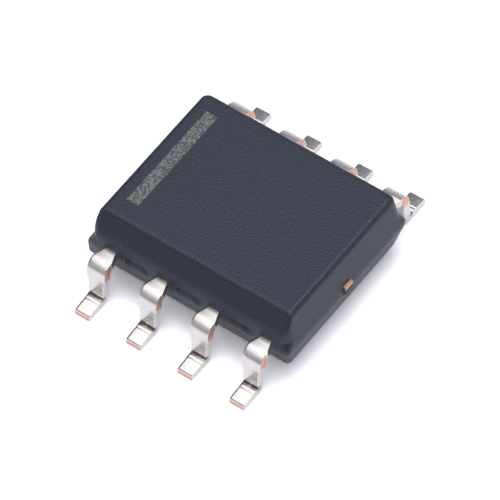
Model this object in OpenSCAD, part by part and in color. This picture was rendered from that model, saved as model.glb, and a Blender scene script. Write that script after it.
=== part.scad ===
// Small-outline surface-mount chip: a moulded body with eight gull-wing leads.
// Millimetres, +Z up. The origin is on the seating plane, under the centre of the body.
// +X runs along the rows of leads. -Y is the bevelled side, where leads 1 to 4 stand;
// leads 5 to 8 come back along +Y, so the numbers run anticlockwise seen from above.

/* [Moulded body] */
// Length of the body along the rows of leads, at the parting line
body_l = 4.9; // [4.8:0.05:5.6]
// Width of the body across the rows of leads, at the parting line
body_w = 3.9; // [3.7:0.05:4.3]
// Height of the upper half, from the parting line to the top face
upper_h = 0.8; // [0.7:0.02:1.2]
// Height of the lower half, from the underside to the parting line
lower_h = 0.8; // [0.6:0.02:1.0]
// Gap between the seating plane and the underside of the body
standoff = 0.15; // [0.1:0.01:0.25]
// Draft of the upper walls, in degrees
upper_draft = 8; // [5:0.5:9]
// Draft of the lower walls, in degrees
lower_draft = 14; // [5:0.5:14]
// Radius of the upright corners at the parting line
corner_r = 0.28; // [0.26:0.01:0.4]
// Rounding of the top edges along the back and both ends
top_edge_r = 0.13; // [0.05:0.01:0.13]
// Rounding of the bottom edges
bottom_edge_r = 0.04; // [0.02:0.01:0.05]

/* [Bevel and marks] */
// How far down the front wall the bevel reaches, from the top face
bevel_drop = 0.49; // [0.25:0.01:0.6]
// How far across the top the bevel reaches, from where it leaves the front wall
bevel_run = 0.33; // [0.25:0.01:0.5]
// How far the narrow flat that softens the bevel's top edge reaches each way
bevel_edge = 0.03; // [0.02:0.01:0.06]
// Width of the etched orientation stripe at the lead 1 end
stripe_w = 0.3; // [0.15:0.01:0.4]
// Length of the stripe across the top
stripe_l = 2.6; // [1.5:0.05:2.8]
// Distance from the stripe to the end of the body at the parting line
stripe_inset = 0.42; // [0.38:0.01:0.6]
// Distance from the stripe to the plain long side of the body at the parting line
stripe_margin = 0.5; // [0.45:0.01:0.8]
// Depth of the etching
stripe_depth = 0.015; // [0.01:0.005:0.03]
// Diameter of the ejector-pin mark under the body
eject_d = 0.9; // [0.5:0.05:1.5]
// Depth of the ejector-pin mark
eject_depth = 0.03; // [0.01:0.005:0.06]

/* [Flash and gate] */
// How far the flash stands out of the side walls between the leads
flash_out = 0.05; // [0.02:0.01:0.1]
// Clear gap between a lead and the flash beside it
flash_gap = 0.18; // [0.1:0.01:0.25]
// Width of the broken-off gate at the corner beside lead 1
gate_w = 0.34; // [0.2:0.01:0.5]
// Height of the gate below the lead frame
gate_h = 0.34; // [0.2:0.01:0.45]
// How far the gate stands out past the end of the body
gate_out = 0.04; // [0.02:0.01:0.1]

/* [Leads] */
// Distance between the centres of neighbouring leads
lead_pitch = 1.27; // [1.25:0.01:1.3]
// Overall width across the tips of both rows of leads
lead_span = 6.0; // [5.9:0.05:6.6]
// Thickness of the lead frame
lead_t = 0.2; // [0.17:0.01:0.25]
// Width of a lead where it leaves the body
neck_w = 0.3; // [0.25:0.01:0.36]
// Width over the shoulder, where the dambar was cut away
ear_w = 0.46; // [0.38:0.01:0.5]
// Width of the foot and of the lower leg
foot_w = 0.36; // [0.31:0.01:0.42]
// Length of the flat neck between the body and the shoulder bend
neck_l = 0.23; // [0.15:0.01:0.3]
// Inside radius of both bends
bend_r = 0.08; // [0.05:0.01:0.12]
// Slope of the leg away from upright, in degrees
leg_slope = 8; // [2:1:12]
// Length of the full-width part of the leg below the shoulder bend
ear_l = 0.14; // [0.05:0.01:0.2]
// Length over which the leg narrows from shoulder to foot width
taper_l = 0.1; // [0.05:0.01:0.14]

/* [Lead frame inside the body] */
// Length of the die pad along the rows of leads
pad_l = 2.3; // [1.8:0.05:2.5]
// Width of the die pad across the rows of leads
pad_w = 2.3; // [1.8:0.05:2.4]
// Drop of the die pad below the leads
downset = 0.2; // [0.1:0.01:0.25]
// Length of the sloping step in each tie bar
downset_run = 0.25; // [0.2:0.01:0.35]
// Width of the tie bars
tie_w = 0.24; // [0.15:0.01:0.4]
// How far the cut tie bars stand out of the ends of the body
tie_out = 0.04; // [0.02:0.01:0.08]
// Gap between the die pad and the tips of the leads
finger_gap = 0.2; // [0.15:0.01:0.25]
// Width of the head that locks each middle lead in the body
head_w = 0.62; // [0.5:0.01:0.8]
// Straight neck inside the body before a lead widens
lock_l = 0.16; // [0.12:0.01:0.22]
// Distance between the two facing tips of the corner leads at each end
corner_tip_gap = 0.9; // [0.8:0.05:1.2]

/* [Die and bond wires] */
// Length of the die along the rows of leads
die_l = 1.4; // [1.0:0.05:1.6]
// Width of the die across the rows of leads
die_w = 1.3; // [1.0:0.05:1.5]
// Thickness of the die
die_t = 0.28; // [0.2:0.01:0.35]
// Thickness of the adhesive under the die
attach_t = 0.025; // [0.015:0.005:0.04]
// How far the adhesive spreads past the die on each side
attach_out = 0.06; // [0.02:0.01:0.1]
// Diameter of the bond wire
wire_d = 0.03; // [0.025:0.005:0.05]
// Diameter of the ball at the die end of a wire
ball_d = 0.08; // [0.06:0.005:0.1]
// Height of the flattened ball
ball_h = 0.02; // [0.015:0.005:0.03]
// Height of the upright part of a wire above its ball
loop_rise = 0.06; // [0.03:0.01:0.15]
// Radius of the bend at the top of a wire
loop_r = 0.06; // [0.04:0.01:0.1]
// Distance from the middle of a ball to the edge of the die
ball_inset = 0.09; // [0.06:0.01:0.15]
// Distance from the middle of a stitch to the edge of its lead
stitch_inset = 0.13; // [0.09:0.01:0.2]

/* [Hidden] */
LEADS = [1, 2, 3, 4, 5, 6, 7, 8];
$fn = 48;

per_side = len(LEADS) / 2;
eps = 0.1;                                   // overrun of cutting tools
kink_swell = 1.1;                            // a kink in a bond wire is thicker than the wire
parting_z = standoff + lower_h;              // middle of the lead frame
top_z = parting_z + upper_h;
frame_top = parting_z + lead_t / 2;
frame_bottom = parting_z - lead_t / 2;
pad_top = frame_top - downset;
pad_bottom = pad_top - lead_t;
die_bottom = pad_top + attach_t;
die_top = die_bottom + die_t;

// Gull-wing form, worked out along the middle of the strip
bend_turn = 90 - leg_slope;
bend_mid_r = bend_r + lead_t / 2;
bend_y = bend_mid_r * sin(bend_turn);        // distance out covered by one bend
bend_z = bend_mid_r * (1 - cos(bend_turn));  // distance down covered by one bend
leg_l = (frame_bottom - 2 * bend_z) / sin(bend_turn);
foot_l = (lead_span - body_w) / 2 - neck_l - 2 * bend_y - leg_l * cos(bend_turn);

// Inner ends of the leads
tip_y = pad_w / 2 + finger_gap;              // tips of the middle leads
lock_y = body_w / 2 - lock_l;                // where the leads widen to lock in the body
side_x = pad_l / 2 + finger_gap;             // edge of a corner lead beside the die pad

// Bevel on the front of the upper half
bevel_low_z = top_z - bevel_drop;
bevel_low_y = body_w / 2 - (bevel_low_z - parting_z) * tan(upper_draft);
bevel_top_y = bevel_low_y - bevel_run;

mould_black = [0.20, 0.21, 0.24];
tin = [0.84, 0.84, 0.83];
copper = [0.80, 0.50, 0.36];

function unit(v) = v / norm(v);
function is_back(n) = n > per_side;
// Place of a lead counted from the +X end of the back row, or the -X end of the front row
function place(n) = (n - 1) % per_side;
function lead_x(n) = ((per_side - 1) / 2 - place(n)) * lead_pitch;
function is_corner(n) = place(n) == 0 || place(n) == per_side - 1;

// The sliver between a corner v, with edges towards a and b, and an arc of radius r across it.
// It is taken off a convex corner and put into a concave one; it runs past the corner a little.
module corner_sliver(v, a, b, r) {
    to_a = unit(a - v);
    to_b = unit(b - v);
    half = acos(to_a * to_b) / 2;
    inwards = unit(to_a + to_b);
    centre = v + inwards * r / sin(half);
    difference() {
        polygon([v - inwards * r / 4, v + to_a * r / tan(half), centre, v + to_b * r / tan(half)]);
        translate(centre) circle(r);
    }
}

// Outline from the axis of an upright corner to the wall: [distance out, height]
module wall_profile(h, draft, edge_r) {
    base = [corner_r, 0];
    edge = [corner_r - h * tan(draft), h];
    difference() {
        polygon([[0, 0], base, edge, [0, h]]);
        corner_sliver(edge, base, [0, h], edge_r);
    }
}

// Half of the body: drafted walls, conical corners and a rounded rim, standing on z = 0
module body_half(h, draft, edge_r) {
    ax = body_l / 2 - corner_r;
    ay = body_w / 2 - corner_r;
    rotate([90, 0, 90]) translate([0, 0, -ax]) linear_extrude(2 * ax) union() {
        translate([-ay, 0]) square([2 * ay, h]);
        for (s = [0, 1]) mirror([s, 0]) translate([ay, 0]) wall_profile(h, draft, edge_r);
    }
    for (s = [0, 1]) mirror([s, 0, 0]) {
        translate([ax, ay, 0]) rotate([90, 0, 0]) linear_extrude(2 * ay)
            wall_profile(h, draft, edge_r);
        for (t = [0, 1]) mirror([0, t, 0]) translate([ax, ay, 0])
            rotate_extrude(angle = 90) wall_profile(h, draft, edge_r);
    }
}

// What the bevel takes off the front of the upper half, with a narrow flat along its top edge
module bevel_cut() {
    low = [-bevel_low_y, bevel_low_z];
    top = [-bevel_top_y, top_z];
    along = top - low;
    flat_start = top - unit(along) * bevel_edge;
    flat_end = top + [bevel_edge, 0];
    over_top = flat_end + (flat_end - flat_start) * bevel_drop / bevel_edge;
    rotate([90, 0, 90]) translate([0, 0, -body_l]) linear_extrude(2 * body_l)
        polygon([low - along, flat_start, over_top, [low[0] - bevel_run, over_top[1]]]);
}

// Resin that crept out between two leads and was trimmed with a ragged, sloping end
module side_flash(x0, x1) {
    slant = flash_out;
    translate([0, 0, frame_bottom]) linear_extrude(lead_t) polygon([
        [x0, body_w / 2 - eps], [x0, body_w / 2], [x0 + slant, body_w / 2 + flash_out],
        [x1 - slant, body_w / 2 + flash_out], [x1, body_w / 2], [x1, body_w / 2 - eps]
    ]);
}

// Stump of the gate where the resin ran into the mould, at the corner beside lead 1
module gate_stump() {
    x_out = -body_l / 2 - gate_out;
    y_out = -body_w / 2 + bottom_edge_r;
    translate([0, 0, frame_bottom - gate_h]) linear_extrude(gate_h + lead_t) polygon([
        [x_out, y_out + gate_out], [x_out, y_out + gate_w],
        [x_out + corner_r, y_out + gate_w], [x_out + corner_r, y_out + gate_out],
        [x_out + gate_out, y_out]
    ]);
}

module body_outside() {
    difference() {
        union() {
            translate([0, 0, parting_z]) body_half(upper_h, upper_draft, top_edge_r);
            translate([0, 0, parting_z]) mirror([0, 0, 1])
                body_half(lower_h, lower_draft, bottom_edge_r);
            for (s = [0, 1], i = [0:per_side - 2]) mirror([0, s, 0])
                side_flash(
                    (i - (per_side - 1) / 2) * lead_pitch + neck_w / 2 + flash_gap,
                    (i - (per_side - 3) / 2) * lead_pitch - neck_w / 2 - flash_gap
                );
            gate_stump();
        }
        bevel_cut();
        translate([stripe_inset - body_l / 2, body_w / 2 - stripe_margin, top_z - stripe_depth])
            mirror([0, 1, 0]) cube([stripe_w, stripe_l, stripe_depth + eps]);
        translate([0, 0, standoff - eps]) cylinder(d = eject_d, h = eject_depth + eps);
    }
}

// Part of a lead inside the body, for the +Y side, with its straight neck out to y_end
module lead_finger(n, y_end) {
    x = abs(lead_x(n));
    half = neck_w / 2;
    outline = is_corner(n)
        ? [
            [x + half, y_end], [x + half, corner_tip_gap / 2 + half],
            [x, corner_tip_gap / 2], [side_x, corner_tip_gap / 2],
            [side_x, lock_y - half], [side_x + half, lock_y],
            [x - half, lock_y], [x - half, y_end]
        ]
        : [
            [x + half, y_end], [x + half, lock_y], [x + head_w / 2, lock_y - half / 2],
            [x + head_w / 2, tip_y], [x - head_w / 2, tip_y],
            [x - head_w / 2, lock_y - half / 2], [x - half, lock_y], [x - half, y_end]
        ];
    mirror([lead_x(n) < 0 ? 1 : 0, 0, 0])
        translate([0, 0, frame_bottom]) linear_extrude(lead_t) polygon(outline);
}

// Side view of a lead outside the body, as [distance out from the wall, height above its middle]
module wing_profile() {
    tip = (lead_span - body_w) / 2;
    foot_top = lead_t - parting_z;
    outer_run = (bend_r + lead_t) * tan(bend_turn / 2);  // from a bend's start to its outer corner
    inner_run = bend_r * tan(bend_turn / 2);             // and to its inner corner
    neck_above = [0, lead_t / 2];
    neck_below = [0, -lead_t / 2];
    shoulder_out = [neck_l + outer_run, lead_t / 2];
    shoulder_in = [neck_l + inner_run, -lead_t / 2];
    ankle_in = [tip - foot_l - inner_run, foot_top];
    ankle_out = [tip - foot_l - outer_run, -parting_z];
    tip_above = [tip, foot_top];
    tip_below = [tip, -parting_z];
    difference() {
        union() {
            polygon([
                neck_above, shoulder_out, ankle_in, tip_above,
                tip_below, ankle_out, shoulder_in, neck_below
            ]);
            corner_sliver(shoulder_in, neck_below, ankle_out, bend_r);
            corner_sliver(ankle_in, shoulder_out, tip_above, bend_r);
        }
        corner_sliver(shoulder_out, neck_above, ankle_in, bend_r + lead_t);
        corner_sliver(ankle_out, shoulder_in, tip_below, bend_r + lead_t);
    }
}

// What is trimmed off both sides of a lead: the outline of one side, looking square onto it
module side_trim(outline) {
    for (s = [0, 1]) mirror([s, 0, 0]) translate([0, 0, -lead_span / 2])
        linear_extrude(lead_span) polygon(outline);
}

// Outer part of a lead along +Y: neck, shoulder, leg, ankle and foot
module gull_wing() {
    difference() {
        rotate([90, 0, 90]) translate([0, 0, -ear_w / 2]) linear_extrude(ear_w) wing_profile();
        side_trim([
            [neck_w / 2, -eps], [neck_w / 2, 0], [ear_w / 2, neck_l],
            [ear_w, neck_l], [ear_w, -eps]
        ]);
        translate([0, neck_l + bend_y, -bend_z]) rotate([-bend_turn, 0, 0]) side_trim([
            [ear_w / 2, ear_l], [foot_w / 2, ear_l + taper_l], [foot_w / 2, lead_span],
            [ear_w, lead_span], [ear_w, ear_l]
        ]);
    }
}

module lead(n) {
    color(tin) rotate([0, 0, is_back(n) ? 0 : 180]) {
        lead_finger(n, body_w / 2 + neck_l / 2);
        translate([lead_x(n), body_w / 2, parting_z]) gull_wing();
    }
}

// Die pad with a stepped tie bar to each end of the body, running past by extra
module pad_frame(extra) {
    slope = atan(downset / downset_run);
    set_back = lead_t * tan(slope / 2);
    x0 = pad_l / 2;
    x1 = x0 + downset_run;
    x2 = body_l / 2 + extra;
    translate([-pad_l / 2, -pad_w / 2, pad_bottom]) cube([pad_l, pad_w, lead_t]);
    for (s = [0, 1]) mirror([s, 0, 0]) translate([0, tie_w / 2, 0]) rotate([90, 0, 0])
        linear_extrude(tie_w) polygon([
            [x0 - tie_w, pad_top], [x0, pad_top], [x1, frame_top], [x2, frame_top],
            [x2, frame_bottom], [x1 + set_back, frame_bottom], [x0 + set_back, pad_bottom],
            [x0 - tie_w, pad_bottom]
        ]);
}

module die_pad() {
    color(copper) pad_frame(tie_out);
}

module die_attach() {
    l = die_l + 2 * attach_out;
    w = die_w + 2 * attach_out;
    color("gray") translate([-l / 2, -w / 2, pad_top]) cube([l, w, attach_t]);
}

module die() {
    color([0.35, 0.38, 0.45]) translate([-die_l / 2, -die_w / 2, die_bottom])
        cube([die_l, die_w, die_t]);
}

// A bond wire in its own upright plane: ball at the origin on the die, loop, and a run down
// to the stitch, reach away, where it is pressed flat onto a lead, drop below the die's face
module wire_run(reach, drop) {
    start = ball_h + loop_rise;              // height of the middle of the loop's bend
    away = [reach - loop_r, -drop - start];  // from the middle of the bend to the stitch
    down = asin(loop_r / norm(away)) + atan2(-away[1], away[0]);
    run = sqrt(pow(norm(away), 2) - pow(loop_r, 2));
    past = wire_d / tan(down);               // overrun that the lead's face cuts to a slant
    cylinder(d = ball_d, h = ball_h);
    cylinder(d = wire_d, h = start);
    translate([0, 0, start]) sphere(d = wire_d * kink_swell);
    translate([loop_r, 0, start]) rotate([90, 0, 0]) rotate([0, 0, 90 - down]) {
        rotate_extrude(angle = 90 + down) translate([loop_r, 0]) circle(d = wire_d);
        translate([loop_r, 0, 0]) sphere(d = wire_d * kink_swell);
    }
    difference() {
        translate([reach, 0, -drop]) rotate([0, down - 90, 0]) translate([0, 0, -past])
            cylinder(d = wire_d, h = run + past);
        translate([reach / 2, -wire_d, -drop - reach]) cube([reach, 2 * wire_d, reach]);
    }
}

module bond_wire(n) {
    x = abs(lead_x(n));
    flip = lead_x(n) < 0 ? 1 : 0;
    ball = is_corner(n)
        ? [die_l / 2 - ball_inset, die_w / 4]
        : [die_l / 4, die_w / 2 - ball_inset];
    stitch = is_corner(n)
        ? [side_x + stitch_inset, die_w / 4 + stitch_inset * 2]
        : [x, tip_y + stitch_inset];
    path = stitch - ball;
    color("gold") rotate([0, 0, is_back(n) ? 0 : 180]) mirror([flip, 0, 0])
        translate([ball[0], ball[1], die_top]) rotate([0, 0, atan2(path[1], path[0])])
            wire_run(norm(path), die_top - frame_top);
}

module moulding() {
    color(mould_black) difference() {
        body_outside();
        for (n = LEADS) {
            rotate([0, 0, is_back(n) ? 0 : 180]) lead_finger(n, body_w / 2 + eps);
            bond_wire(n);
        }
        pad_frame(eps);
        die_attach();
        die();
    }
}

moulding();
die_pad();
die_attach();
die();
for (n = LEADS) {
    lead(n);
    bond_wire(n);
}
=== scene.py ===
"""Looks of a small-outline chip: moulded body, plated gull-wing leads and what is sealed inside."""

import math

import bpy
import numpy as np
from mathutils import Matrix, Vector


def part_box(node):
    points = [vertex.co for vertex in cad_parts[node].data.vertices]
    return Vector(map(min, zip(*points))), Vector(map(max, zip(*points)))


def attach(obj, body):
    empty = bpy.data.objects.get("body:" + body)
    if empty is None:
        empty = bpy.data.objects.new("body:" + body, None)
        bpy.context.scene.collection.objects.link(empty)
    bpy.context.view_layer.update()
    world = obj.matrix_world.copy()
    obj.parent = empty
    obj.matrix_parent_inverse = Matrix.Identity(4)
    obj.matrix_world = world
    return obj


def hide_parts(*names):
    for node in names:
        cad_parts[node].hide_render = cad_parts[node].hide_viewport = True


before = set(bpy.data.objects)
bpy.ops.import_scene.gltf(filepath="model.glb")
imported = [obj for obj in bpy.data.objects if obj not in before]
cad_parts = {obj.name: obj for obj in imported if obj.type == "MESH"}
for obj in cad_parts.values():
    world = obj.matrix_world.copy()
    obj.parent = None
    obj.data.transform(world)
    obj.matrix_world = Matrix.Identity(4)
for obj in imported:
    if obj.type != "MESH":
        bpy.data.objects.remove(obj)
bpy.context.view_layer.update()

MM = 0.001  # sizes are written in millimetres, and meshes are stored in metres


def box_mm(node):
    """Lowest and highest corner of a CAD node, in millimetres."""
    return [np.array(corner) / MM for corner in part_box(node)]


# ---------------------------------------------------------------- sizes

# Moulded body
CORNER_R = 0.28             # upright corners
PARTING_CORNER_R = 0.08     # which are sharper beside the parting line
UPPER_CORNER_GROWTH = 1.1   # and grow by this for each millimetre up, as far as CORNER_R
LOWER_CORNER_GROWTH = 0.15  # or by this for each millimetre down
UPPER_DRAFT = math.radians(8)
LOWER_DRAFT = math.radians(14)
TOP_EDGE_R = 0.13
BOTTOM_EDGE_R = 0.04
BEVEL_DROP = 0.49
BEVEL_RUN = 0.33
BEVEL_SOFT = 0.06           # width over which the bevel blends into its neighbours
EJECT_D = 0.9               # round mark of the pin that pushed the body out of the mould
EJECT_DEPTH = 0.03

# Etched stripe
STRIPE_W = 0.3
STRIPE_L = 2.6
STRIPE_INSET = 0.42         # from the end of the body
STRIPE_MARGIN = 0.5         # from the plain long side
STRIPE_DEPTH = 0.015
ETCH_SLOPE = 0.008          # width of its side walls

# Resin that stands out beside the lead frame
FLASH_OUT = 0.05            # flash between the leads
FLASH_GAP = 0.18            # from a lead to the flash beside it
FLASH_SLANT = 0.08          # length of its trimmed, sloping ends
FLASH_MEAN = 0.7            # share of FLASH_OUT about which its ragged edge waves
FLASH_WAVES = ((0.2, 9, 1), (0.1, 31, 3))  # share, radians in a millimetre, times the phase
LUMP_OUT = 0.052            # resin that crept out under a cut tie bar
LUMP_RIM = 0.04
GATE_W = 0.34               # stump of the gate, at the corner beside lead 1
GATE_H = 0.36
GATE_OUT = 0.08
GATE_CHAMFER = 0.03
TIE_W = 0.24                # tie bar of the die pad

# Leads outside the body
PER_SIDE = 4
LEAD_PITCH = 1.27
NECK_W = 0.3
NECK_L = 0.23
EAR_W = 0.46                # shoulder, where the dambar was cut away
EAR_L = 0.14                # how far down the leg it keeps that width
TAPER_L = 0.1               # over which the leg narrows to the foot
FOOT_W = 0.36
BEND_R = 0.08
BEND_TURN = math.radians(82)
ROLL = (0.06, 0.028)        # width and depth of the edge that the punch rolled over, towards lead 1
BURR = (0.012, 0.012)       # sharper edges elsewhere
TIP_ROLL_R = 0.05           # top edge of the cut tip
TOE_DROP = 0.042            # how much thinner the foot is at its tip than at its heel
COIN_LINES = ((0.14, 0.08, 0.02), (0.31, 0.018, 0.006))  # place past the leg, half width, depth
SMEAR_L = 0.05              # tin smeared over the ends of a sheared side
CREASE_SHADE_PLACE = 0.12           # painted shade in the crease of the ankle, past the leg
CREASE_SHADE_HALF = 0.1

# Leads inside the body
LOCK_L = 0.16
HEAD_W = 0.62
FINGER_GAP = 0.2
CORNER_TIP_GAP = 0.9

# Fineness of the meshes
DECIMALS = 6                # points that agree to so many decimals of a millimetre are one point
ALIKE = 1e-9                # directions this near to each other are one direction
HALVINGS = 44               # steps of the search for the skin
FAN_RAYS = 360              # rays that find a profile
UPPER_POINTS = 44           # points of a profile above the parting line
LOWER_POINTS = 22           # and below it
CORNER_STATIONS = 12        # profiles in each upright corner
GRID_X = 0.045              # widest step along the body
GRID_Y = 0.06               # and across it
CREASE_HALF = 0.05          # strip of closer lines along the bevel's upper edge
CREASE_LINES = 9
GATE_STEP = 0.012           # length over which the stump's end falls back to the body
MARK_RINGS_OUT = (0.25, 0.5, 0.75, 1)   # shares of the way from the edge to the pin's mark
MARK_RINGS_IN = (0.97, 0.7, 0.35, 0)    # and shares of that mark's radius
EDGE_POINTS = 6             # in each oval corner of a strip's section
SIDEWAYS = 0.85             # points of those corners that face sideways by more count as sheared
NECK_STEPS, BEND_STEPS, FOOT_STEPS, TIP_STEPS = 5, 21, 30, 8
LEG_STOPS = (0.03, 0.06, 0.1)           # rings down the wide part of the leg
BESIDE = 0.01               # from a change of width to the ring beside it
AT_ONCE = 0.001             # length of a step in width
SHARP_ANGLE = math.radians(32)          # edges that turn by more are shaded sharp

body_low, body_high = box_mm("moulding")
lead_low, lead_high = box_mm("lead_6")
half_l = body_high[0]
half_w = body_high[1] - FLASH_OUT
parting = (body_low[2] + body_high[2]) / 2
half_h = body_high[2] - parting
lead_t = 2 * (lead_high[2] - parting)
tip_reach = lead_high[1] - half_w            # from the body's wall to the tip of a foot
tip_y = lead_low[1]                          # inner tip of a middle lead
pad_half = tip_y - FINGER_GAP                # the die pad is square
lock_y = half_w - LOCK_L
side_x = pad_half + FINGER_GAP               # edge of a corner lead beside the pad
flash_half = (LEAD_PITCH - NECK_W) / 2 - FLASH_GAP

# Gull wing, along the middle of its strip
bend_mid = BEND_R + lead_t / 2
bend_out = bend_mid * math.sin(BEND_TURN)
bend_down = bend_mid * (1 - math.cos(BEND_TURN))
leg_l = (parting - lead_t / 2 - 2 * bend_down) / math.sin(BEND_TURN)
foot_l = tip_reach - NECK_L - 2 * bend_out - leg_l * math.cos(BEND_TURN)

# Bevel, in the upper half: height above the parting line and distance from the middle
bevel_low_h = half_h - BEVEL_DROP
bevel_top_y = half_w - bevel_low_h * math.tan(UPPER_DRAFT) - BEVEL_RUN

stripe_x = (STRIPE_INSET - half_l, STRIPE_INSET - half_l + STRIPE_W)
stripe_y = (half_w - STRIPE_MARGIN - STRIPE_L, half_w - STRIPE_MARGIN)
axis_x = half_l - CORNER_R                   # axes of the upright corners
axis_y = half_w - CORNER_R


# ---------------------------------------------------------------- mesh tools

def weld(points, quads):
    """Finds the points that coincide. Returns the numbers of those to keep and the faces between
    them: a quad that lost one side is a triangle, and one that lost more is gone."""
    rounded = np.round(points, DECIMALS)
    _, first, same = np.unique(rounded, axis=0, return_index=True, return_inverse=True)
    quads = same.reshape(-1)[quads]
    keep = quads != np.roll(quads, -1, axis=1)
    sides = keep.sum(axis=1)
    triangles = quads[sides == 3][keep[sides == 3]].reshape(-1, 3)
    return first, quads[sides == 4].tolist() + triangles.tolist()


def grid_quads(rows, columns, wrap=False, start=0):
    """Quads of a grid numbered row by row. With wrap, the last row joins the first."""
    steps = rows if wrap else rows - 1
    i, j = np.meshgrid(np.arange(steps), np.arange(columns - 1), indexing="ij")
    after = (i + 1) % rows
    corners = [i * columns + j, i * columns + j + 1, after * columns + j + 1, after * columns + j]
    return np.stack(corners, axis=-1).reshape(-1, 4) + start


def new_piece(name, points, faces, material, slot, nodes, **attributes):
    """A finished piece in the row frame, from points in millimetres, that stands for CAD
    nodes."""
    mesh = bpy.data.meshes.new(name)
    mesh.from_pydata((points * MM).tolist(), [], faces)
    for key, values in attributes.items():
        attribute = mesh.attributes.new(key, "FLOAT", "POINT")
        attribute.data.foreach_set("value", values.astype(np.float32))
    mesh.validate()
    mesh.shade_smooth()
    mesh.set_sharp_from_angle(angle=SHARP_ANGLE)
    mesh.materials.append(material)
    piece = bpy.data.objects.new(name, mesh)
    bpy.context.scene.collection.objects.link(piece)
    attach(piece, "root")
    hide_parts(*nodes)
    return piece


# ---------------------------------------------------------------- moulded body

def furthest(within, low, high):
    """How far each point can go from low towards high while within stays true, found by halving
    the way."""
    for _ in range(HALVINGS):
        middle = (low + high) / 2
        still = within(middle)
        low, high = np.where(still, middle, low), np.where(still, high, middle)
    return low


def round_corner(a, b, cosine, radius):
    """Distance to two walls that meet in a rounded corner. Where both walls, moved in by the
    radius, are behind the point, it is the distance to their meeting point less the radius;
    elsewhere the larger of the two."""
    a_in, b_in = a + radius, b + radius
    inside = (a_in > b_in * cosine) & (b_in > a_in * cosine)
    square = np.maximum(a_in ** 2 + b_in ** 2 - 2 * a_in * b_in * cosine, 0)
    return np.where(inside, np.sqrt(square / (1 - cosine ** 2)) - radius, np.maximum(a, b))


def soft_max(a, b, width):
    """The larger of a and b, with a parabola across the crease where they are within width."""
    near = np.maximum(width - np.abs(a - b), 0) / width
    return np.maximum(a, b) + near ** 2 * width / 4


def side_walls(face, out, inset, radius):
    """Distance outside two upright walls at a corner, both moved in by inset, with a round corner
    between them. out is measured along the direction face, from the axis of the corner."""
    a, b = (out * np.abs(face[i]) - CORNER_R + inset for i in (0, 1))
    return round_corner(a, b, 0, radius)


def upper_skin(y, face, out, up):
    """Signed distance from the upper half: the drafted wall and the top meet in a round edge, and
    the bevel's plane is blended across them. up is measured from the parting line, beside which
    the upright corners are sharper."""
    inset = up * math.tan(UPPER_DRAFT)
    radius = np.minimum(PARTING_CORNER_R + up * UPPER_CORNER_GROWTH, CORNER_R - inset)
    wall = side_walls(face, out, inset, radius) * math.cos(UPPER_DRAFT)
    rim = round_corner(wall, up - half_h, math.sin(UPPER_DRAFT), TOP_EDGE_R)
    slope = math.hypot(BEVEL_RUN, BEVEL_DROP)
    bevel = (BEVEL_RUN * (up - half_h) - BEVEL_DROP * (y + bevel_top_y)) / slope
    return soft_max(rim, bevel, BEVEL_SOFT)


def lower_skin(_, face, out, down):
    """Signed distance from the lower half, which has no bevel, so the first value plays no part.
    The wall is upright beside the lead frame and then slopes in to the same underside as one
    drafted all the way; it meets the flat underside in a round edge. Its upright corners grow
    rounder towards the underside."""
    below = np.maximum(down - lead_t / 2, 0)
    slope = math.tan(LOWER_DRAFT) * half_h / (half_h - lead_t / 2)
    radius = PARTING_CORNER_R + below * LOWER_CORNER_GROWTH
    wall = side_walls(face, out, below * slope, radius) / math.hypot(1, slope)
    return round_corner(wall, down - half_h, math.sin(LOWER_DRAFT), BOTTOM_EDGE_R)


def skin_profiles(skin, base, face, first_up, count):
    """One profile for each station of the outline. Rays fan out from the parting line below the
    base point, from straight up down to the wall at first_up, and each ends on the skin. The
    profile's points are then spread evenly over the running sum of its length in millimetres and
    its turn in radians, so that they crowd where the skin bends."""
    y, facing = base[:, 1:], face.T[:, :, None]
    wall_out = furthest(lambda out: skin(y, facing, out, first_up) < 0, 0 * y, half_l)
    lowest = np.arctan2(first_up, wall_out)
    tilt = math.pi / 2 + np.linspace(0, 1, FAN_RAYS) * (lowest - math.pi / 2)

    def within(reach):
        out = reach * np.cos(tilt)
        return skin(y + out * face[:, 1:], facing, out, reach * np.sin(tilt)) < 0

    reach = furthest(within, 0 * tilt, 2 * half_l)
    out, up = reach * np.cos(tilt), reach * np.sin(tilt)
    across, rise = np.diff(out, axis=1), np.diff(up, axis=1)
    heading = np.arctan2(rise, across)
    turn = np.abs(np.diff(heading, axis=1, prepend=heading[:, :1]))
    spread = np.cumsum(np.hypot(across, rise) + turn, axis=1)
    spread = np.hstack([np.zeros((len(base), 1)), spread]) / spread[:, -1:]
    goal = np.linspace(0, 1, count)
    return [
        np.array([np.interp(goal, place, value) for place, value in zip(spread, values)])
        for values in (out, up)
    ]


def grid_lines(reach, step, marks):
    """Positions from -reach to reach, at most step apart, with a line at each mark."""
    stops = np.unique(np.round([-reach, *marks, reach], DECIMALS))
    spans = zip(stops[:-1], stops[1:])
    runs = [np.linspace(a, b, int(np.ceil((b - a) / step)) + 1) for a, b in spans]
    return np.unique(np.round(np.concatenate(runs), DECIMALS))


def side_flash(x, side):
    """How far the flash stands out at x: in full between its sloping ends, times a mean share and
    a sum of sines that makes its edge ragged. Each gap between leads has its own phase."""
    gap = np.clip(np.round(x / LEAD_PITCH), 1 - PER_SIDE / 2, PER_SIDE / 2 - 1)
    ends = np.clip((flash_half - np.abs(x - gap * LEAD_PITCH)) / FLASH_SLANT, 0, 1)
    phase = gap * 2.1 + side * 1.3
    waves = sum(share * np.sin(pace * x + times * phase) for share, pace, times in FLASH_WAVES)
    return FLASH_OUT * ends * (FLASH_MEAN + waves)


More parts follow.
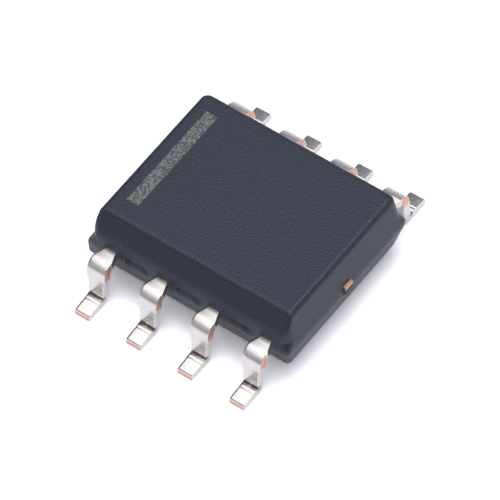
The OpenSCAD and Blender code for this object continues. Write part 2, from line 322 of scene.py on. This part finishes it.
def gate_reach(base, face):
    """How far out from a corner's axis the stump of the gate reaches, along a station's
    direction: as far as the nearest wall of a box with one chamfered edge."""
    x_out, y_out = half_l + GATE_OUT, half_w - BOTTOM_EDGE_R
    to_left, to_front = np.maximum(-face[:, 0], 1e-6), np.maximum(-face[:, 1], 1e-6)
    reach = np.minimum((base[:, 0] + x_out) / to_left, (base[:, 1] + y_out) / to_front)
    chamfer = (base.sum(axis=1) + x_out + y_out - GATE_CHAMFER) / (to_left + to_front)
    beside = (face[:, 0] < -0.01) & (base[:, 1] < GATE_W - y_out)
    return np.where(beside, np.minimum(np.minimum(reach, chamfer), 2 * CORNER_R), 0)


def frame_bands(base, face):
    """The rows of the wall beside the lead frame, as (out, height). Each is the cavity's wall
    with its share of the resin that stands out there: the flash between the leads, thickest at
    the parting line, and below it the lump round a cut tie bar and the stump of the gate."""
    edge = lead_t / 2
    gate_down = edge + GATE_H
    straight = np.abs(np.abs(face[:, 1]) - 1) < ALIKE
    flash = np.where(straight, side_flash(base[:, 0], np.sign(face[:, 1])), 0)
    beside_tie = np.clip((TIE_W / 2 + LUMP_RIM - np.abs(base[:, 1])) / LUMP_RIM, 0, 1)
    lump = np.where(np.abs(face[:, 0]) > 1 - ALIKE, beside_tie, 0)
    gate = gate_reach(base, face)
    # Height above the parting line, and the shares of the flash, the lump and the stump
    rows = [
        (edge, 0.15, 0, 0),
        (0.6 * edge, 0.75, 0, 0),
        (0.2 * edge, 1, 0, 0.2),
        (0, 1, 0.2, 0.5),
        (-0.15 * edge, 1, 1, 0.6),
        (-0.6 * edge, 0.75, 1, 0.8),
        (-edge, 0.15, 1, 1),
        (-1.4 * edge, 0, 0.6, 1),
        (-2 * edge, 0, 0, 1),
        (-0.9 * gate_down, 0, 0, 1),
        (-gate_down, 0, 0, 0.8),
    ]
    outs = []
    for up, flash_share, lump_share, gate_share in rows:
        skin = upper_skin if up > 0 else lower_skin
        wall = furthest(
            lambda out: skin(base[:, 1], face.T, out, abs(up)) < 0, 0 * flash, 2 * half_l,
        )
        lumpy = wall + lump_share * lump * (CORNER_R + LUMP_OUT - wall)
        stump = wall + gate_share * np.maximum(gate - wall, 0)
        outs.append(np.maximum(np.maximum(wall + flash_share * flash, lumpy), stump))
    return np.column_stack(outs), np.array([row[0] for row in rows])


def outline(lines_x, lines_y):
    """Stations round the body, anticlockwise: the base point on the rectangle of the corners'
    axes, and the direction that the wall faces there."""
    quarter = np.radians(np.linspace(-90, 0, CORNER_STATIONS + 2)[1:-1])
    sides = [
        (lines_x, -axis_y, 0, -90), (lines_y, axis_x, 1, 0),
        (lines_x[::-1], axis_y, 0, 90), (lines_y[::-1], -axis_x, 1, 180),
    ]
    base, angle = [], []
    for lines, level, flip, heading in sides:
        along = np.stack([lines, np.full_like(lines, level)], axis=1)
        along = along[:, ::-1] if flip else along
        base += [along, np.repeat(along[-1:], len(quarter), axis=0)]
        angle += [np.full(len(lines), math.radians(heading)), quarter + math.radians(heading + 90)]
    angle = np.concatenate(angle)
    # Rounded, so that a straight side faces exactly along an axis
    face = np.round(np.stack([np.cos(angle), np.sin(angle)], axis=1), 12)
    return np.concatenate(base), face


def underside(base):
    """The flat underside, as spokes from each base point to the middle, with the round mark of
    the pin sunk into it."""
    edge = base / np.linalg.norm(base, axis=1, keepdims=True) * EJECT_D / 2
    outside = [base + (edge - base) * share for share in MARK_RINGS_OUT]
    inside = [edge * share for share in MARK_RINGS_IN]
    under = np.stack(outside + inside, axis=1)
    heights = np.full(under.shape[:2], body_low[2])
    heights[:, len(outside):] += EJECT_DEPTH
    return np.dstack([under, heights])


def top_face(lines_x, lines_y):
    """The top inside the rectangle of the corners' axes, with the etched stripe sunk into it."""
    x, y = np.meshgrid(lines_x, lines_y, indexing="ij")
    top = furthest(lambda up: upper_skin(y, (1, 0), 0, up) < 0, 0 * x, 2 * half_h)
    etched = np.clip(np.minimum(x - stripe_x[0], stripe_x[1] - x) / ETCH_SLOPE, 0, 1)
    etched *= np.clip(np.minimum(y - stripe_y[0], stripe_y[1] - y) / ETCH_SLOPE, 0, 1)
    return np.dstack([x, y, parting + top - etched * STRIPE_DEPTH]).reshape(-1, 3)


def body_lines():
    """The two sets of lines that the body's mesh follows, along x and along y, with a line
    wherever the flash, the stripe, the bevel's upper edge, a lump or the gate's stump begins or
    ends."""
    gaps = [(i - PER_SIDE / 2 + 1) * LEAD_PITCH for i in range(PER_SIDE - 1)]
    flash_ends = (flash_half, flash_half - FLASH_SLANT)
    flash = [gap + side * end for gap in gaps for side in (-1, 1) for end in flash_ends]
    etch_x, etch_y = (
        [a, a + ETCH_SLOPE, b - ETCH_SLOPE, b] for a, b in (stripe_x, stripe_y)
    )
    crease = np.linspace(-bevel_top_y - CREASE_HALF, -bevel_top_y + CREASE_HALF, CREASE_LINES)
    lump = [side * (TIE_W / 2 + rim) for side in (-1, 1) for rim in (0, LUMP_RIM / 2, LUMP_RIM)]
    gate_end = GATE_W - half_w + BOTTOM_EDGE_R
    across = [*etch_y, *crease, *lump, gate_end, gate_end + GATE_STEP]
    return grid_lines(axis_x, GRID_X, flash + etch_x), grid_lines(axis_y, GRID_Y, across)


def body_skin():
    """Points and faces of the moulded body. Profiles stand on an outline of two sets of parallel
    lines and four quarter turns; a grid over the same lines closes the top, and spokes close the
    underside."""
    lines_x, lines_y = body_lines()
    base, face = outline(lines_x, lines_y)
    band_out, band_up = frame_bands(base, face)
    top_out, top_up = skin_profiles(upper_skin, base, face, band_up[0], UPPER_POINTS)
    low_out, low_up = skin_profiles(lower_skin, base, face, -band_up[-1], LOWER_POINTS)
    outs = np.column_stack([top_out, band_out, low_out[:, ::-1]])
    ups = np.column_stack([top_up, np.tile(band_up, (len(base), 1)), -low_up[:, ::-1]])
    ring = np.dstack([base[:, None, :] + outs[..., None] * face[:, None, :], parting + ups])
    ring = np.concatenate([ring, underside(base)], axis=1)

    points = np.concatenate([ring.reshape(-1, 3), top_face(lines_x, lines_y)])
    quads = grid_quads(*ring.shape[:2], wrap=True)
    cover = grid_quads(len(lines_x), len(lines_y), start=ring.shape[0] * ring.shape[1])[:, ::-1]
    first, faces = weld(points, np.concatenate([quads, cover]))
    return points[first], faces


# ---------------------------------------------------------------- leads

def ribbon(stations, rolled):
    """Points, faces and surface marks of a punched strip. Each station is (left, right, out,
    height, tilt, drop, bare, strain, painted crease shade): a rectangle with oval corners from left
    to right, square to the strip, whose middle is at (out, height) and slopes down by tilt. drop
    lowers its top face, and rolled gives the width and depth of that face's left and right edges.
    bare marks the sheared sides, strain the bends, and the last value the shade painted into the
    crease on the top face. The end of the strip is cut, so it is bare all over."""
    stations = np.array(stations, float).T[:, :, None]
    left, right, out, height, tilt, drop, bare, strain, painted_crease_shade = stations
    turn = np.linspace(0, math.pi / 2, EDGE_POINTS)
    side = np.concatenate([-np.cos(turn), np.sin(turn), np.cos(turn), -np.sin(turn)])
    lift = np.concatenate([np.sin(turn), np.cos(turn), -np.sin(turn), -np.cos(turn)])
    wide, deep = np.repeat([rolled[0], rolled[1], BURR, BURR], len(turn), axis=0).T
    on_left = np.repeat([True, False, False, True], len(turn))
    on_top = np.repeat([True, True, False, False], len(turn))
    across = np.where(on_left, left + wide, right - wide) + side * wide
    level = np.where(on_top, lead_t / 2 - drop - deep, deep - lead_t / 2) + lift * deep
    points = np.dstack([across, out + level * np.sin(tilt), height + level * np.cos(tilt)])
    cut = np.where(np.abs(side) > SIDEWAYS, bare, 0)
    cut[-1] = 1

    rows, columns = across.shape
    i, j = np.meshgrid(np.arange(rows - 1), np.arange(columns), indexing="ij")
    here, there, after = i * columns, (i + 1) * columns, (j + 1) % columns
    corners = [here + j, here + after, there + after, there + j]
    quads = np.stack(corners, axis=-1).reshape(-1, 4).tolist()
    ring = np.arange(columns)
    caps = [ring[::-1].tolist(), (ring + (rows - 1) * columns).tolist()]
    # The last mark is painted shade: it darkens the top face in the crease of the ankle
    marks = {"bare": cut, "strain": strain + 0 * side, "painted_crease_shade": painted_crease_shade * on_top}
    marks = {key: values.reshape(-1) for key, values in marks.items()}
    return points.reshape(-1, 3), quads + caps, marks


def finger_widths(x):
    """Left and right edges of a lead inside the body, for a lead at x on the +Y side, from its
    inner tip outwards, as (left, right, out). A corner lead reaches round the die pad; a middle
    one has a wide head."""
    half = NECK_W / 2
    if x > LEAD_PITCH:
        tip = CORNER_TIP_GAP / 2
        return [
            (side_x, x, tip), (side_x, x + half, tip + half), (side_x, x + half, lock_y - half),
            (side_x + half, x + half, lock_y), (x - half, x + half, lock_y + AT_ONCE),
        ]
    head = HEAD_W / 2
    widths = [(head, tip_y), (head, lock_y - half / 2), (half, lock_y)]
    return [(x - w, x + w, out) for w, out in widths]


def strip_course():
    """The middle of the strip outside the body, as (out, height, tilt, length): straight neck, an
    arc over the shoulder, straight leg, an arc back at the ankle and a straight foot, whose last
    rings crowd towards the rounded tip."""
    turn = np.linspace(0, BEND_TURN, BEND_STEPS)
    flat = [1, 0, 0, 1]
    neck = np.linspace(0, NECK_L, NECK_STEPS)[:, None] * flat + [half_w, parting, 0, 0]
    arc = np.column_stack([np.sin(turn), np.cos(turn) - 1, turn, turn])
    arc = arc * [bend_mid, bend_mid, 1, bend_mid]
    shoulder = arc + neck[-1]
    slope = [math.cos(BEND_TURN), -math.sin(BEND_TURN), 0, 1]
    narrow = EAR_L + TAPER_L
    leg = np.unique([0, *LEG_STOPS, EAR_L - BESIDE, EAR_L, narrow, narrow + BESIDE, leg_l])
    leg = leg[:, None] * slope + shoulder[-1]
    back = arc[::-1] * [-1, -1, 1, -1]
    ankle = back - back[0] + leg[-1]
    tip_turn = np.linspace(0, math.pi / 2, TIP_STEPS)
    tip = foot_l - TIP_ROLL_R * (1 - np.sin(tip_turn))
    foot = np.append(np.linspace(0, tip[0], FOOT_STEPS), tip[1:])[:, None] * flat + ankle[-1]
    return np.concatenate([neck, shoulder[1:], leg[1:], ankle[1:], foot[1:]])


def lead(n, material):
    """A gull-wing lead, from its inner tip to the cut end of its foot, as one punched and bent
    strip. Its width flares along the neck and tapers down the leg. Its top face drops by the
    toe's taper, the arc of the rounded tip and a bell curve at each coining line."""
    place = (n - 1) % PER_SIDE
    x = ((PER_SIDE - 1) / 2 - place) * LEAD_PITCH
    inside = [(a, b, out, parting, 0, 0, 0, 0, 0) for a, b, out in finger_widths(abs(x))]
    outside = []
    leg_start = NECK_L + bend_mid * BEND_TURN
    foot_start = leg_start + leg_l + bend_mid * BEND_TURN
    for out, height, tilt, length in strip_course():
        flare = np.interp(length, [0, NECK_L], [NECK_W, EAR_W])
        taper = np.interp(length - leg_start, [EAR_L, EAR_L + TAPER_L], [EAR_W, FOOT_W])
        width = min(flare, taper) / 2
        sheared = min(length - NECK_L, leg_start + EAR_L - length) / SMEAR_L
        toe = max(length - foot_start, 0) / foot_l * TOE_DROP
        past = length - leg_start - leg_l
        coined = sum(
            depth * math.exp(-((past - spot) / half) ** 2) for spot, half, depth in COIN_LINES
        )
        to_tip = min(foot_start + foot_l - length, TIP_ROLL_R)
        roll = TIP_ROLL_R - math.sqrt(TIP_ROLL_R ** 2 - (TIP_ROLL_R - to_tip) ** 2)
        drop = toe + roll + coined
        bare = np.clip(sheared, 0, 1)
        strain = math.sin(math.pi * tilt / BEND_TURN) if 0 < tilt < BEND_TURN else 0
        # Painted shade in the crease of the ankle: a bell curve about its place past the leg
        painted_crease_shade = math.exp(-((past - CREASE_SHADE_PLACE) / CREASE_SHADE_HALF) ** 2)
        edges = (abs(x) - width, abs(x) + width)
        outside.append((*edges, out, height, tilt, drop, bare, strain, painted_crease_shade))
    stations = inside + outside
    if x < 0:
        stations = [(-b, -a, *rest) for a, b, *rest in stations]
    front = n <= PER_SIDE
    points, faces, marks = ribbon(stations, (BURR, ROLL) if front else (ROLL, BURR))
    if front:
        points = points * [-1, -1, 1]
    name, node = f"plated_lead_{n}", f"lead_{n}"
    return new_piece(name, points, faces, material, "tin_plated_copper", [node], **marks)


# ---------------------------------------------------------------- materials

def colour(code):
    """Linear RGBA from an sRGB hex code: each channel is divided by 255, and the sRGB curve is
    undone."""
    channels = [int(code[i:i + 2], 16) / 255 for i in (1, 3, 5)]
    linear = [c / 12.92 if c <= 0.04045 else ((c + 0.055) / 1.055) ** 2.4 for c in channels]
    return linear + [1]


def add(tree, kind, inputs=(), **settings):
    """Adds a node with its settings. inputs gives each socket a value, or another node's
    output."""
    node = tree.nodes.new(kind)
    for key, value in settings.items():
        setattr(node, key, value)
    for socket, value in dict(inputs).items():
        if isinstance(value, bpy.types.NodeSocket):
            tree.links.new(value, node.inputs[socket])
        else:
            node.inputs[socket].default_value = value
    return node


def start_material(name):
    """A new material with its tree and Object coordinates."""
    material = bpy.data.materials.new(name)
    material.use_nodes = True
    tree = material.node_tree
    tree.nodes.clear()
    return material, tree, add(tree, "ShaderNodeTexCoord").outputs["Object"]


def finish_material(tree, inputs):
    """Closes a material with one Principled shader."""
    shader = add(tree, "ShaderNodeBsdfPrincipled", inputs)
    add(tree, "ShaderNodeOutputMaterial", {"Surface": shader.outputs["BSDF"]})


def grains(size):
    """Scale of a noise pattern whose grains are size millimetres across, on coordinates in
    metres."""
    return 1 / (size * MM)


def black_moulding_compound():
    """Black epoxy filled with crushed silica, moulded against a spark-eroded cavity: an even
    satin black with a fine grain. The laser burns the resin off the stripe, and the pale filler
    shows as speckles."""
    material, tree, place = start_material("black_moulding_compound")
    grain = add(tree, "ShaderNodeTexNoise", {
        "Vector": place, "Scale": grains(0.05), "Detail": 3,
    }).outputs["Fac"]
    black = add(tree, "ShaderNodeMix", {
        "Factor": grain, 6: colour("#212429"), 7: colour("#2f333a"),
    }, data_type="RGBA").outputs[2]
    # Filler grains are drawn several times their real size, so that they show
    specks = add(tree, "ShaderNodeTexNoise", {
        "Vector": place, "Scale": grains(0.05), "Detail": 2,
    }).outputs["Fac"]
    filler = add(tree, "ShaderNodeMapRange", {
        "Value": specks, "From Min": 0.4, "From Max": 0.62,
    }).outputs["Result"]
    pale = add(tree, "ShaderNodeMix", {
        "Factor": filler, 6: colour("#484c4b"), 7: colour("#80847f"),
    }, data_type="RGBA").outputs[2]
    tone = add(tree, "ShaderNodeMix", {
        "Factor": etched_mask(tree, place), 6: black, 7: pale,
    }, data_type="RGBA").outputs[2]
    # Wide patches where the mould was a little more worn
    patches = add(tree, "ShaderNodeTexNoise", {
        "Vector": place, "Scale": grains(0.6), "Detail": 2,
    }).outputs["Fac"]
    rough = add(tree, "ShaderNodeMapRange", {
        "Value": patches, "To Min": 0.36, "To Max": 0.44,
    }).outputs["Result"]
    bump = add(tree, "ShaderNodeBump", {
        "Height": grain, "Strength": 0.5, "Distance": 0.018 * MM,
    }).outputs["Normal"]
    finish_material(tree, {
        "Base Color": tone, "Roughness": rough, "IOR": 1.62,
        "Specular Tint": colour("#d6e2ff"), "Normal": bump,
    })
    return material


# Edge of the etched stripe, in millimetres: how far noise moves it, and the distances inside the
# stripe's outline, with that noise, between which bare compound turns to etched
FRAY = 0.03
FRAY_EDGE = (0.008, 0.022)
# Depths below the top between which the mask ends, so that it marks the top alone
MASK_DEPTHS = (0.1, 0.05)


def etched_mask(tree, place):
    """1 on the etched stripe and 0 elsewhere: the least distance inside its four sides, frayed by
    a little noise, and only near the top."""
    fray = add(tree, "ShaderNodeTexNoise", {"Vector": place, "Scale": grains(0.06)})
    axes = add(tree, "ShaderNodeSeparateXYZ", {"Vector": place}).outputs
    depths = []
    for axis, (low, high) in ((axes["X"], stripe_x), (axes["Y"], stripe_y)):
        middle, half = (low + high) / 2 * MM, (high - low) / 2 * MM
        off = add(tree, "ShaderNodeMath", {0: axis, 1: middle}, operation="SUBTRACT").outputs[0]
        off = add(tree, "ShaderNodeMath", {0: off}, operation="ABSOLUTE").outputs[0]
        depth = add(tree, "ShaderNodeMath", {0: half, 1: off}, operation="SUBTRACT").outputs[0]
        depths.append(depth)
    depth = add(tree, "ShaderNodeMath", dict(enumerate(depths)), operation="MINIMUM").outputs[0]
    loose = add(tree, "ShaderNodeMath", {
        0: fray.outputs["Fac"], 1: FRAY * MM, 2: depth,
    }, operation="MULTIPLY_ADD").outputs[0]
    flat = add(tree, "ShaderNodeMapRange", {
        "Value": loose, "From Min": FRAY_EDGE[0] * MM, "From Max": FRAY_EDGE[1] * MM,
    }).outputs["Result"]
    low, high = ((body_high[2] - depth) * MM for depth in MASK_DEPTHS)
    above = add(tree, "ShaderNodeMapRange", {
        "Value": axes["Z"], "From Min": low, "From Max": high,
    }).outputs["Result"]
    return add(tree, "ShaderNodeMath", {0: flat, 1: above}, operation="MULTIPLY").outputs[0]


def matte_tin_on_copper():
    """Copper strip plated with matte tin after moulding: a soft, slightly warm silver, duller
    where the bends stretched it. Where the dambars and the tips were cut after plating, the
    copper shows, with tin smeared over its edges. Shade is painted into the crease of the ankle."""
    material, tree, place = start_material("matte_tin_on_copper")
    bare, painted_crease_shade, strain = (
        add(tree, "ShaderNodeAttribute", attribute_name=name).outputs["Fac"]
        for name in ("bare", "painted_crease_shade", "strain")
    )
    # Tin crystals, and the wider smears that fray the edges of what is bare and of the painted
    # crease shade
    crystals = add(tree, "ShaderNodeTexNoise", {
        "Vector": place, "Scale": grains(0.05), "Detail": 3,
    }).outputs["Fac"]
    smear = add(tree, "ShaderNodeTexNoise", {
        "Vector": place, "Scale": grains(0.11), "Detail": 3,
    }).outputs["Fac"]
    edge = add(tree, "ShaderNodeMath", {
        0: smear, 1: 0.5, 2: bare,
    }, operation="MULTIPLY_ADD").outputs[0]
    cut = add(tree, "ShaderNodeMapRange", {
        "Value": edge, "From Min": 1.05, "From Max": 1.2,
    }).outputs["Result"]
    tin = add(tree, "ShaderNodeMix", {
        "Factor": crystals, 6: colour("#dad6d4"), 7: colour("#efecea"),
    }, data_type="RGBA").outputs[2]
    clean = add(tree, "ShaderNodeMix", {
        "Factor": cut, 6: tin, 7: colour("#e2aa92"),
    }, data_type="RGBA").outputs[2]
    # Painted shade: the crease of the ankle is darkened to a grey brown and frayed by the smears
    crease_shade_fac = add(tree, "ShaderNodeMath", {0: painted_crease_shade, 1: smear}, operation="MULTIPLY").outputs[0]
    crease_shade_fac = add(tree, "ShaderNodeMapRange", {
        "Value": crease_shade_fac, "From Min": 0.12, "From Max": 0.42,
    }).outputs["Result"]
    tone = add(tree, "ShaderNodeMix", {
        "Factor": crease_shade_fac, 6: clean, 7: colour("#6e625c"),
    }, data_type="RGBA").outputs[2]
    rough = add(tree, "ShaderNodeMapRange", {
        "Value": crystals, "To Min": 0.18, "To Max": 0.28,
    }).outputs["Result"]
    rough = add(tree, "ShaderNodeMath", {
        0: strain, 1: 0.1, 2: rough,
    }, operation="MULTIPLY_ADD").outputs[0]
    bump = add(tree, "ShaderNodeBump", {
        "Height": crystals, "Strength": 0.2, "Distance": 0.002 * MM,
    }).outputs["Normal"]
    finish_material(tree, {
        "Base Color": tone, "Metallic": 1, "Roughness": rough, "Normal": bump,
    })
    return material


def plain_finish(name, low, high, grain, rough, **sockets):
    """A finish of two close tones in a noise pattern, with a faint bump, for the pieces sealed
    in. grain is the size of its grains in millimetres."""
    material, tree, place = start_material(name)
    noise = add(tree, "ShaderNodeTexNoise", {
        "Vector": place, "Scale": grains(grain), "Detail": 3,
    }).outputs["Fac"]
    tone = add(tree, "ShaderNodeMix", {
        "Factor": noise, 6: colour(low), 7: colour(high),
    }, data_type="RGBA").outputs[2]
    gloss = add(tree, "ShaderNodeMapRange", {
        "Value": noise, "To Min": rough - 0.06, "To Max": rough + 0.06,
    }).outputs["Result"]
    bump = add(tree, "ShaderNodeBump", {
        "Height": noise, "Strength": 0.25, "Distance": grain / 10 * MM,
    }).outputs["Normal"]
    finish_material(tree, {"Base Color": tone, "Roughness": gloss, "Normal": bump, **sockets})
    return material


# ---------------------------------------------------------------- the chip

compound = black_moulding_compound()
new_piece("moulded_body", *body_skin(), compound, "moulding_compound", ["moulding"])
tin = matte_tin_on_copper()
for number in range(1, 2 * PER_SIDE + 1):
    lead(number, tin)

# Rolled copper strip, sheared at the ends of the tie bars: a warm satin metal
rolled_copper = plain_finish("rolled_copper", "#d0967c", "#eebca6", 0.08, 0.38, Metallic=1)
# Silver flakes in epoxy, dispensed and cured: dull grey with bright flecks
silver_epoxy = plain_finish("silver_filled_epoxy", "#8b8b88", "#b9b9b4", 0.03, 0.5, Metallic=0.6)
# Sawn and passivated silicon: dark blue-grey with a hard gloss
silicon = plain_finish(
    "passivated_silicon", "#3c4254", "#565e74", 0.09, 0.16, IOR=2.0, Metallic=0.3,
)
# Drawn gold wire, bright and smooth
drawn_gold = plain_finish("drawn_gold", "#d9a441", "#edc068", 0.02, 0.2, Metallic=1)

finishes = {"die_pad": rolled_copper, "die_attach": silver_epoxy, "die": silicon}
finishes.update({f"bond_wire_{n}": drawn_gold for n in range(1, 2 * PER_SIDE + 1)})
for node_name, finish in finishes.items():
    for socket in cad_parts[node_name].material_slots:
        socket.material = finish


# ---------------------------------------------------------------- floor, light and camera

FLOOR_SIZE = 1.5           # metres
FLOOR_GAIN = 1.75          # how much whiter the camera sees the floor than the object does
FLOOR_LIFT = 0.08          # what the floor adds to itself there
FLOOR_GLOSS = 0.18         # and where it is seen in gloss
TENT_WHITE = (1.27, 1.25, 1.25, 1)
TENT_DIM = (0.11, 0.12, 0.16, 1)
TENT_GREY = (0.50, 0.50, 0.53, 1)
# Parts of the tent: middle, and cosines of the angle from it where the dim wall turns to its tone
BACK_SHEET = ((-0.37, 0.92, 0.10), 0.84, 0.90)
FRONT_SHEET = ((-0.40, -0.80, 0.45), 0.935, 0.98)
CEILING = ((0, -0.07, 0.998), 0.72, 0.765)
TENT = ((BACK_SHEET, TENT_GREY), (FRONT_SHEET, TENT_GREY), (CEILING, TENT_WHITE))
# Softboxes: place in metres, width, and the share of a white surface's brightness that each gives
SOFTBOXES = (
    (Vector((0.02, 0.05, 0.33)), 0.16, 0.25),
    (Vector((0.30, 0.16, 0.15)), 0.26, 0.09),
)

# Camera: turn from the bevelled side, height above the floor, and roll
CAMERA_TURN = math.radians(42.96)
CAMERA_RISE = math.radians(53.85)
CAMERA_ROLL = math.radians(-7.5)
CAMERA_AIM = Vector((0, 0, 0.8 * MM))
CAMERA_SHIFT = (0.041 * MM, -0.307 * MM)
CAMERA_DISTANCE = 133.54 * MM
CAMERA_LENS = 490.0
CAMERA_CLIP = (0.01, 2)    # metres


def seen_rays(tree, kinds):
    """1 for rays of the kinds named, such as those straight from the camera, and 0 for the
    others."""
    path = add(tree, "ShaderNodeLightPath").outputs
    seen = path[kinds[0]]
    for kind in kinds[1:]:
        either = {0: seen, 1: path[kind]}
        seen = add(tree, "ShaderNodeMath", either, operation="MAXIMUM").outputs[0]
    return seen


def pale_floor():
    """A sheet of white card that takes the shadow. The camera sees it exposed as plain white."""
    half = FLOOR_SIZE / 2
    mesh = bpy.data.meshes.new("floor")
    corners = [(-half, -half, 0), (half, -half, 0), (half, half, 0), (-half, half, 0)]
    mesh.from_pydata(corners, [], [(0, 1, 2, 3)])
    floor = bpy.data.objects.new("floor", mesh)
    bpy.context.scene.collection.objects.link(floor)
    material, tree, _ = start_material("white_card")
    direct = seen_rays(tree, ["Is Camera Ray"])
    white = colour("#f6f6fb")
    exposed = [FLOOR_GAIN * channel for channel in white[:3]] + [1]
    tone = add(tree, "ShaderNodeMix", {
        "Factor": direct, 6: white, 7: exposed,
    }, data_type="RGBA").outputs[2]
    card = add(tree, "ShaderNodeBsdfDiffuse", {"Color": tone})
    in_gloss = seen_rays(tree, ["Is Glossy Ray", "Is Transmission Ray"])
    lift = add(tree, "ShaderNodeMath", {
        0: direct, 1: FLOOR_LIFT,
    }, operation="MULTIPLY").outputs[0]
    lift = add(tree, "ShaderNodeMath", {
        0: in_gloss, 1: FLOOR_GLOSS, 2: lift,
    }, operation="MULTIPLY_ADD").outputs[0]
    glow = add(tree, "ShaderNodeEmission", {"Strength": lift})
    both = add(tree, "ShaderNodeAddShader", {0: card.outputs[0], 1: glow.outputs[0]})
    add(tree, "ShaderNodeOutputMaterial", {"Surface": both.outputs[0]})
    mesh.materials.append(material)


def light_tent():
    """The world as a light tent: dim walls, a white ceiling and sheets of grey card low behind
    and in front. The camera sees it as plain white."""
    world = bpy.data.worlds.new("studio")
    world.use_nodes = True
    tree = world.node_tree
    tree.nodes.clear()
    aim = add(tree, "ShaderNodeTexCoord").outputs["Generated"]
    tone = TENT_DIM
    for (middle, low, high), level in TENT:
        near = add(tree, "ShaderNodeVectorMath", {
            0: aim, 1: middle,
        }, operation="DOT_PRODUCT").outputs["Value"]
        edge = add(tree, "ShaderNodeMapRange", {
            "Value": near, "From Min": low, "From Max": high,
        }, interpolation_type="SMOOTHSTEP").outputs["Result"]
        tone = add(tree, "ShaderNodeMix", {
            "Factor": edge, 6: tone, 7: level,
        }, data_type="RGBA").outputs[2]
    tone = add(tree, "ShaderNodeMix", {
        "Factor": seen_rays(tree, ["Is Camera Ray"]), 6: tone, 7: (1, 1, 1, 1),
    }, data_type="RGBA").outputs[2]
    background = add(tree, "ShaderNodeBackground", {"Color": tone, "Strength": 1})
    add(tree, "ShaderNodeOutputWorld", {"Surface": background.outputs[0]})
    bpy.context.scene.world = world


def softboxes():
    """A softbox overhead and a weaker one beyond the end, both aimed at the chip. The energy is
    the level times pi squared times the square of the distance, which lights a white sheet to
    that level."""
    for place, width, level in SOFTBOXES:
        lamp = bpy.data.lights.new("softbox", "AREA")
        lamp.size = width
        lamp.energy = level * math.pi ** 2 * place.length_squared
        softbox = bpy.data.objects.new("softbox", lamp)
        softbox.location = place
        softbox.rotation_euler = place.to_track_quat("Z", "Y").to_euler()
        bpy.context.scene.collection.objects.link(softbox)


def place_camera():
    """Stands back along the line of sight, turned by the roll and shifted in its own plane."""
    turn, rise, roll = CAMERA_TURN, CAMERA_RISE, CAMERA_ROLL
    flat = Vector((math.sin(turn), -math.cos(turn), 0)) * math.cos(rise)
    back = flat + Vector((0, 0, math.sin(rise)))
    level = Vector((math.cos(turn), math.sin(turn), 0))
    upright = back.cross(level)
    right = math.cos(roll) * level + math.sin(roll) * upright
    up = math.cos(roll) * upright - math.sin(roll) * level
    lens = bpy.data.cameras.new("camera")
    lens.lens = CAMERA_LENS
    lens.clip_start, lens.clip_end = CAMERA_CLIP
    camera = bpy.data.objects.new("camera", lens)
    place = CAMERA_AIM + CAMERA_DISTANCE * back + CAMERA_SHIFT[0] * right + CAMERA_SHIFT[1] * up
    axes = Matrix((right, up, back)).transposed()
    camera.matrix_world = Matrix.Translation(place) @ axes.to_4x4()
    bpy.context.scene.collection.objects.link(camera)
    bpy.context.scene.camera = camera


pale_floor()
light_tent()
softboxes()
place_camera()
bpy.context.scene.view_settings.view_transform = "Standard"
